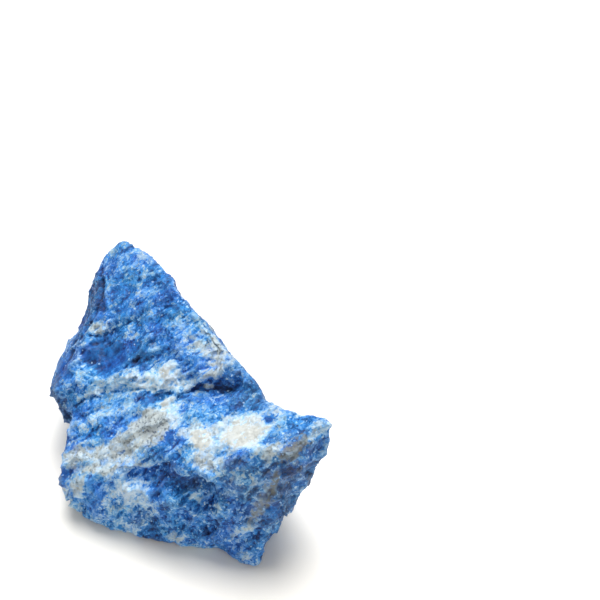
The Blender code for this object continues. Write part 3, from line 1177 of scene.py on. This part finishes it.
@dataclass(frozen=True)
class NativeMinerals:
    """The minerals all round the lump, under the patches that the picture shows."""

    paleness: float = 0.42
    broad_size: float = 11.0
    broad_share: float = 0.14
    patchy_size: float = 6.0
    patchy_share: float = 0.22
    white_paleness: float = 0.93
    dark_paleness: float = 0.20
    white: Vein = Vein(Salt.WHITE, 9.0, (0.16, 0.46), 0.85)
    dark: Vein = Vein(Salt.DARK, 8.0, (0.20, 0.50), 0.7)
    ash: Vein = Vein(Salt.ASH, 7.0, (0.24, 0.50), 0.8)
    tan: Vein = Vein(Salt.TAN, 5.0, (0.34, 0.60), 0.6)
    dusk: Vein = Vein(Salt.DUSK, 13.0, (-0.1, 0.5), 0.55, PLAIN_OCTAVES)
    calm: Vein = Vein(Salt.CALM, 7.0, (0.1, 0.5), 0.5, PLAIN_OCTAVES)

    def values(self, points: np.ndarray) -> dict[str, np.ndarray]:
        """Gives each mineral's share.

        Args:
            points: Places in millimetres, squeezed across the layers.

        Returns:
            One number for each point, for each mineral.
        """
        broad = GrainField.billow(points, self.broad_size, Salt.BROAD)
        patchy = GrainField.billow(points, self.patchy_size, Salt.PATCHY, FINE_OCTAVES)
        paleness = self.paleness + self.broad_share * broad + self.patchy_share * patchy
        paleness = paleness + (self.white_paleness - paleness) * self.white.amount(points)
        paleness = paleness + (self.dark_paleness - paleness) * self.dark.amount(points)
        veins = [vein.amount(points) for vein in (self.ash, self.tan, self.dusk, self.calm)]
        return dict(zip(MINERALS, (paleness, *veins)))


@dataclass(frozen=True)
class PatchBrush:
    """How a patch of mineral lies on the broken skin, with its lengths in millimetres."""

    normal_reach: float = 2.5
    least_facing: float = 0.35
    depth_share: float = 0.55
    least_depth: float = 1.0
    rag_share: float = 0.45
    least_rag: float = 0.8
    haze: float = 0.32
    haze_reach: Pair = (0.6, 1.7)
    haze_ragged: float = 0.5
    view: PhotoView = PhotoView()

    def facing(self, skin: SkinMesh, normals: np.ndarray, middle: np.ndarray) -> np.ndarray:
        """Finds which way the skin faces round a patch's middle, never far from the camera's way.

        Args:
            skin: The skin.
            normals: The skin's normals.
            middle: The place of the patch's middle.

        Returns:
            The unit direction.
        """
        off = skin.points - middle
        weight = np.exp(-np.einsum("ij,ij->i", off, off) / self.normal_reach**2)
        normal = weight @ normals
        normal = normal / np.linalg.norm(normal)
        back = self.view.axes()[2]
        turned = normal @ back
        if turned < self.least_facing:
            normal = normal + back * (self.least_facing - turned)
            normal = normal / np.linalg.norm(normal)
        return normal

    def half_sizes(self, patch: Patch, middle: np.ndarray, normal: np.ndarray) -> list[np.ndarray]:
        """Lays the patch's half width and half height on the skin.

        Args:
            patch: The patch.
            middle: The place of its middle.
            normal: The way that the skin faces there.

        Returns:
            Two directions along the skin, as long as the half sizes.
        """
        turn = math.radians(patch.turn)
        ends = (
            (patch.half_width * math.cos(turn), -patch.half_width * math.sin(turn)),
            (patch.half_height * math.sin(turn), patch.half_height * math.cos(turn)),
        )
        spans = []
        for across, down in ends:
            way = self.view.ray(patch.middle[0] + across, patch.middle[1] + down)
            reach = (middle - self.view.place()) @ normal / (way @ normal)
            spans.append(self.view.place() + way * reach - middle)
        return spans

    def amounts(
        self,
        skin: SkinMesh,
        normals: np.ndarray,
        layered: np.ndarray,
        middle: np.ndarray,
        patch: Patch,
    ) -> tuple[np.ndarray, np.ndarray]:
        """Works out how much of a patch each point carries.

        Args:
            skin: The skin.
            normals: The skin's normals.
            layered: The skin's points, squeezed across the layers.
            middle: The place of the patch's middle.
            patch: The patch.

        Returns:
            Two numbers from 0 to 1 for each point: for the patch, and for the haze round it.
        """
        normal = self.facing(skin, normals, middle)
        first, second = self.half_sizes(patch, middle, normal)
        lengths = np.linalg.norm(first), np.linalg.norm(second)
        off = skin.points - middle
        height = off @ normal
        flat = off - np.outer(height, normal)
        grid = np.array([[first @ first, first @ second], [first @ second, second @ second]])
        parts = np.linalg.solve(grid, np.stack([flat @ first, flat @ second]))
        depth = self.depth_share * sum(lengths) / 2 + self.least_depth
        out = np.sqrt(parts[0] ** 2 + parts[1] ** 2 + (height / depth) ** 2)
        size = max(self.least_rag, self.rag_share * min(lengths))
        rough = patch.ragged * GrainField.billow(layered, size, patch.salt(), FINE_OCTAVES)
        near = 1 - smooth_step(*self.haze_reach, out + self.haze_ragged * rough)
        return 1 - smooth_step(1 - patch.soft, 1 + patch.soft, out + rough), near


@dataclass
class RawStone:
    """The lump's skin: its break, its seams, its outline and its minerals, in millimetres."""

    voxel: float = 0.30
    soften_rounds: int = 5
    soften_pull: float = 0.55
    breaks: tuple[Pair, ...] = ((6.0, 0.19), (2.4, 0.12), (1.1, 0.075))
    break_wander: float = 0.22
    front_breaks: tuple[Pair, ...] = ((4.6, 0.62), (2.0, 0.24))
    salt_step: int = 20
    front_facing: Pair = (0.0, 0.6)
    front_foot: Pair = (0.3, 3.0)
    ledges: Ledges = Ledges()
    layers_face: Place = LAYERS_FACE
    layer_squeeze: float = 1.8
    quiet_foot: Pair = (0.04, 0.7)
    edges: tuple[Edge, ...] = field(default_factory=stone_edges)
    edge_fade: float = 9.0
    edge_ease: float = 1.0
    edge_kept: float = 0.12
    seams: tuple[Seam, ...] = field(default_factory=stone_seams)
    seam_steps: int = 6
    seam_leap: float = 3.0
    seam_wave: float = 1.6
    seam_unevenness: float = 0.5
    curve_rounds: int = 10
    curve_pull: float = 0.6
    full_curve: float = 0.16
    # Where the sharp edges turn paler, partly bruising and partly painted highlight, and where the
    # hollows take painted shade.
    worn_and_lit_from: float = 0.35
    worn_and_lit_size: float = 1.4
    hollow_from: float = 0.15
    most_mineral: float = 1.2
    minerals: NativeMinerals = NativeMinerals()
    patches: tuple[Patch, ...] = field(default_factory=stone_patches)
    brush: PatchBrush = PatchBrush()
    finish: SodaliteFinish = SodaliteFinish()
    view: PhotoView = PhotoView()

    def copied_solid(self, solid: bpy.types.Object) -> bpy.types.Object:
        """Copies the solid stone and gives the copy an even, fine mesh.

        Args:
            solid: The stone of the frame.

        Returns:
            The new object.
        """
        piece = bpy.data.objects.new(SKIN, solid.data.copy())
        bpy.context.scene.collection.objects.link(piece)
        piece.data.materials.clear()
        fine = piece.modifiers.new("even_mesh", "REMESH")
        fine.mode = "VOXEL"
        fine.voxel_size = self.voxel * MM
        fine.use_smooth_shade = True
        shown = piece.evaluated_get(bpy.context.evaluated_depsgraph_get())
        mesh = bpy.data.meshes.new_from_object(shown)
        piece.modifiers.clear()
        piece.data = mesh
        mesh.name = SKIN
        return piece

    def layer_normal(self) -> np.ndarray:
        """Gives the unit direction that the stone's layers face."""
        return np.array(self.layers_face) / np.linalg.norm(self.layers_face)

    def along_layers(self, points: np.ndarray) -> np.ndarray:
        """Squeezes places across the stone's layers, so that the break runs along them."""
        normal = self.layer_normal()
        return points + np.outer(points @ normal, normal) * (self.layer_squeeze - 1)

    def freedom(self, skin: SkinMesh) -> np.ndarray:
        """Gives how far each point may move: not at all on the face that the stone rests on."""
        return smooth_step(*self.quiet_foot, skin.points[:, 2])[:, None]

    def soften(self, skin: SkinMesh) -> None:
        """Rounds off the small straight edges that the solid's own triangles left.

        Args:
            skin: The skin.
        """
        free = self.freedom(skin)
        for _ in range(self.soften_rounds):
            skin.points += (skin.around(skin.points) - skin.points) * self.soften_pull * free
        skin.store()

    def trim_edges(self, skin: SkinMesh) -> None:
        """Draws the stone's sides in to the lines that they follow in the picture.

        Args:
            skin: The skin.
        """
        free = self.freedom(skin)
        right = self.view.axes()[0]
        for edge in self.edges:
            across, down, pixel = self.view.pixels(skin.points)
            line, rows = np.array(edge.route).T
            over = np.maximum((across - np.interp(down, rows, line)) * edge.side, 0.0)
            starts = smooth_step(rows[0], rows[0] + self.edge_fade, down)
            ends = 1 - smooth_step(rows[-1] - self.edge_fade, rows[-1], down)
            drawn = over**2 / (over + self.edge_ease) * (1 - self.edge_kept)
            shift = drawn * starts * ends * pixel
            skin.points -= np.outer(shift * edge.side, right) * free
            LOG.info("%s: drawn in by up to %.1f mm", edge.name, (shift * free[:, 0]).max())
        skin.store()

    def break_surface(self, skin: SkinMesh) -> None:
        """Breaks the skin into scoops of several sizes, deeper ones at the front, and into ledges.

        Args:
            skin: The skin.
        """
        free = self.freedom(skin)
        normals = skin.normals()
        squeezed = self.along_layers(skin.points)
        height = np.zeros(len(skin.points))
        for number, (size, depth) in enumerate(self.breaks):
            salts = [Salt.SCOOP_WANDER + 3 * number + k for k in range(3)]
            wander = np.stack([GrainField.cloud(squeezed, size, salt) for salt in salts], axis=1)
            moved = squeezed + self.break_wander * size * wander
            height += GrainField.scoops(moved, size, depth, Salt.SCOOPS + self.salt_step * number)
        height += self.ledges.heights(skin.points, self.layer_normal())
        front = smooth_step(*self.front_facing, -normals[:, 1])
        front = front * smooth_step(*self.front_foot, skin.points[:, 2])
        for number, (size, depth) in enumerate(self.front_breaks):
            salt = Salt.FRONT_SCOOPS + self.salt_step * number
            height += front * GrainField.scoops(squeezed, size, depth, salt)
        skin.points += normals * height[:, None] * free
        skin.points[:, 2] = np.maximum(skin.points[:, 2], 0.0)
        skin.store()

    def sight(self, tree: BVHTree, pixel: Pair) -> np.ndarray | None:
        """Finds the place on the skin that shows at a pixel, or None where it misses the stone."""
        hit = tree.ray_cast(Vector(self.view.place()), Vector(self.view.ray(*pixel)))[0]
        return None if hit is None else np.array(hit)

    def seam_marks(self, seam: Seam, tree: BVHTree) -> np.ndarray:
        """Finds the places on the skin that a seam passes.

        Args:
            seam: The seam.
            tree: The skin's search tree.

        Returns:
            The places in millimetres, one row each.
        """
        marks = []
        for start, end in zip(seam.route, seam.route[1:]):
            for step in np.linspace(0, 1, self.seam_steps, endpoint=False):
                across = start[0] + (end[0] - start[0]) * step
                down = start[1] + (end[1] - start[1]) * step
                marks.append(self.sight(tree, (across, down)))
        return np.array([mark for mark in marks if mark is not None])

    def cut_seams(self, skin: SkinMesh, tree: BVHTree) -> None:
        """Cuts the cracks and steps into the skin.

        Args:
            skin: The skin.
            tree: Its search tree.
        """
        free = self.freedom(skin)
        normals = skin.normals()
        for number, seam in enumerate(self.seams):
            marks = self.seam_marks(seam, tree)
            if len(marks) < 2:
                LOG.info("seam %s misses the stone", seam.name)
                continue
            joined = np.linalg.norm(marks[1:] - marks[:-1], axis=1) < self.seam_leap
            near = np.full(len(skin.points), FAR_OFF)
            for a, b in zip(marks[:-1][joined], marks[1:][joined]):
                way = b - a
                t = np.clip((skin.points - a) @ way / max(way @ way, TINY), 0, 1)
                near = np.minimum(near, np.linalg.norm(skin.points - a - t[:, None] * way, axis=1))
            wave = GrainField.cloud(skin.points, self.seam_wave, Salt.SEAMS + number)
            half_width = seam.half_width * (1 + self.seam_unevenness * wave)
            cut = 1 - smooth_step(0.0, 1.0, near / half_width)
            skin.points -= normals * (cut * seam.depth)[:, None] * free
        skin.store()

    def paint(self, skin: SkinMesh, tree: BVHTree) -> int:
        """Paints the minerals, the paler sharp edges and the painted shade of the hollows on the
        skin as numbers that the material reads.

        Args:
            skin: The skin.
            tree: Its search tree.

        Returns:
            How many of the patches found their place.
        """
        layered = self.along_layers(skin.points)
        values = self.minerals.values(layered)
        normals = skin.normals()
        placed = 0
        for patch in self.patches:
            middle = self.sight(tree, patch.middle)
            if middle is None:
                LOG.info("patch %s misses the stone", patch.name)
                continue
            amount, near = self.brush.amounts(skin, normals, layered, middle, patch)
            if patch.tone in HAZY_TONES:
                pale = values["paleness"]
                lift = np.maximum(pale, Tone.FROST.value[0]) - pale
                values["paleness"] = pale + lift * near * self.brush.haze
            for mineral, target in zip(MINERALS, patch.tone.value):
                was = values[mineral]
                values[mineral] = was + (target - was) * amount * patch.strength
            placed += 1
        self.paint_relief(skin, normals, values)
        for name, value in values.items():
            layer = skin.mesh.attributes.new(name, "FLOAT", "POINT")
            layer.data.foreach_set("value", np.clip(value, 0, self.most_mineral).astype(np.float32))
        return placed

    def paint_relief(
        self, skin: SkinMesh, normals: np.ndarray, values: dict[str, np.ndarray]
    ) -> None:
        """Marks the sharp edges, paler partly from bruising and partly as a painted highlight, and
        the hollows between them, darkened as painted shade.

        Args:
            skin: The skin.
            normals: The skin's normals.
            values: Takes the two numbers for each point.
        """
        even = skin.points
        for _ in range(self.curve_rounds):
            even = even + (skin.around(even) - even) * self.curve_pull
        bulge = np.einsum("ij,ij->i", skin.points - even, normals) / self.full_curve
        uneven = (1 + GrainField.cloud(skin.points, self.worn_and_lit_size, Salt.WORN_AND_LIT_EDGES)) / 2
        # Partly bruised wear, partly painted highlight: how far each point is a sharp edge, which
        # the colour makes paler.
        values["edge"] = np.clip(bulge - self.worn_and_lit_from, 0, 1) * uneven
        # Painted shade: how far each point lies in a hollow, which the colour darkens.
        values["hollow"] = np.clip(-bulge - self.hollow_from, 0, 1)

    def build(self, solid: bpy.types.Object) -> bpy.types.Object:
        """Makes the skin, breaks it, cuts it, paints it and dresses it.

        Args:
            solid: The stone of the frame.

        Returns:
            The finished piece.
        """
        piece = self.copied_solid(solid)
        skin = SkinMesh(piece.data)
        self.soften(skin)
        tree = skin.tree()
        self.trim_edges(skin)
        self.break_surface(skin)
        self.cut_seams(skin, tree)
        placed = self.paint(skin, skin.tree())
        piece.data.materials.append(self.finish.material())
        piece.data.shade_smooth()
        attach(piece, BODY)
        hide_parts(SOLID_NODE)
        triangles = sum(len(p.vertices) - 2 for p in piece.data.polygons)
        LOG.info("%s: %d triangles, %d of %d patches", SKIN, triangles, placed, len(self.patches))
        return piece


@dataclass(frozen=True)
class Lamp:
    """One broad lamp: where it shines from, its strength, and how wide it looks from the stone."""

    name: str
    place: Place
    strength: float
    spread_deg: float

    def build(self) -> None:
        """Makes the lamp and turns it towards the stone."""
        data = bpy.data.lights.new(self.name, "SUN")
        data.energy = self.strength
        data.angle = math.radians(self.spread_deg)
        lamp = bpy.data.objects.new(self.name, data)
        lamp.location = Vector(self.place)
        lamp.rotation_euler = (-Vector(self.place)).to_track_quat("-Z", "Y").to_euler()
        bpy.context.scene.collection.objects.link(lamp)


@dataclass(frozen=True)
class Studio:
    """The pale floor and the soft light."""

    floor_side: float = 6.0
    floor_finish: FloorFinish = FloorFinish()
    lamps: tuple[Lamp, ...] = (
        Lamp("broad_lamp", (0.02, 0.42, 0.90), 4.2, 42.0),
        Lamp("fill_lamp", (0.25, -0.85, 0.42), 0.70, 70.0),
    )
    sky_white: Colour = (1.0, 1.0, 1.0)
    sky_strength: float = 0.34

    def floor(self) -> bpy.types.Object:
        """Makes the floor, just under the stone.

        Returns:
            The floor object.
        """
        half = self.floor_side / 2
        mesh = bpy.data.meshes.new("pale_floor")
        corners = [(-half, -half, 0), (half, -half, 0), (half, half, 0), (-half, half, 0)]
        mesh.from_pydata(corners, [], [(0, 1, 2, 3)])
        floor = bpy.data.objects.new("pale_floor", mesh)
        bpy.context.scene.collection.objects.link(floor)
        mesh.materials.append(self.floor_finish.material())
        return floor

    def room(self) -> None:
        """Makes the white room round the stone."""
        room = bpy.data.worlds.new("white_room")
        room.use_nodes = True
        sky = room.node_tree.nodes["Background"]
        sky.inputs["Color"].default_value = (*self.sky_white, 1.0)
        sky.inputs["Strength"].default_value = self.sky_strength
        bpy.context.scene.world = room

    def build(self) -> None:
        """Sets up the floor, the light and the plain view of colour."""
        self.floor()
        for lamp in self.lamps:
            lamp.build()
            LOG.info("%s is in place", lamp.name)
        self.room()
        bpy.context.scene.view_settings.view_transform = "Standard"
        bpy.context.scene.view_settings.look = "None"


def main() -> None:
    """Builds the view, the stone and the studio."""
    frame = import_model()
    view = PhotoView()
    view.build()
    LOG.info("photo_view: %.0f degrees up", view.elevation_deg)
    RawStone(view=view, brush=PatchBrush(view=view)).build(frame["nodes"][SOLID_NODE])
    Studio().build()
    LOG.info("pale_floor is in place")


if __name__ == "__main__":
    main()
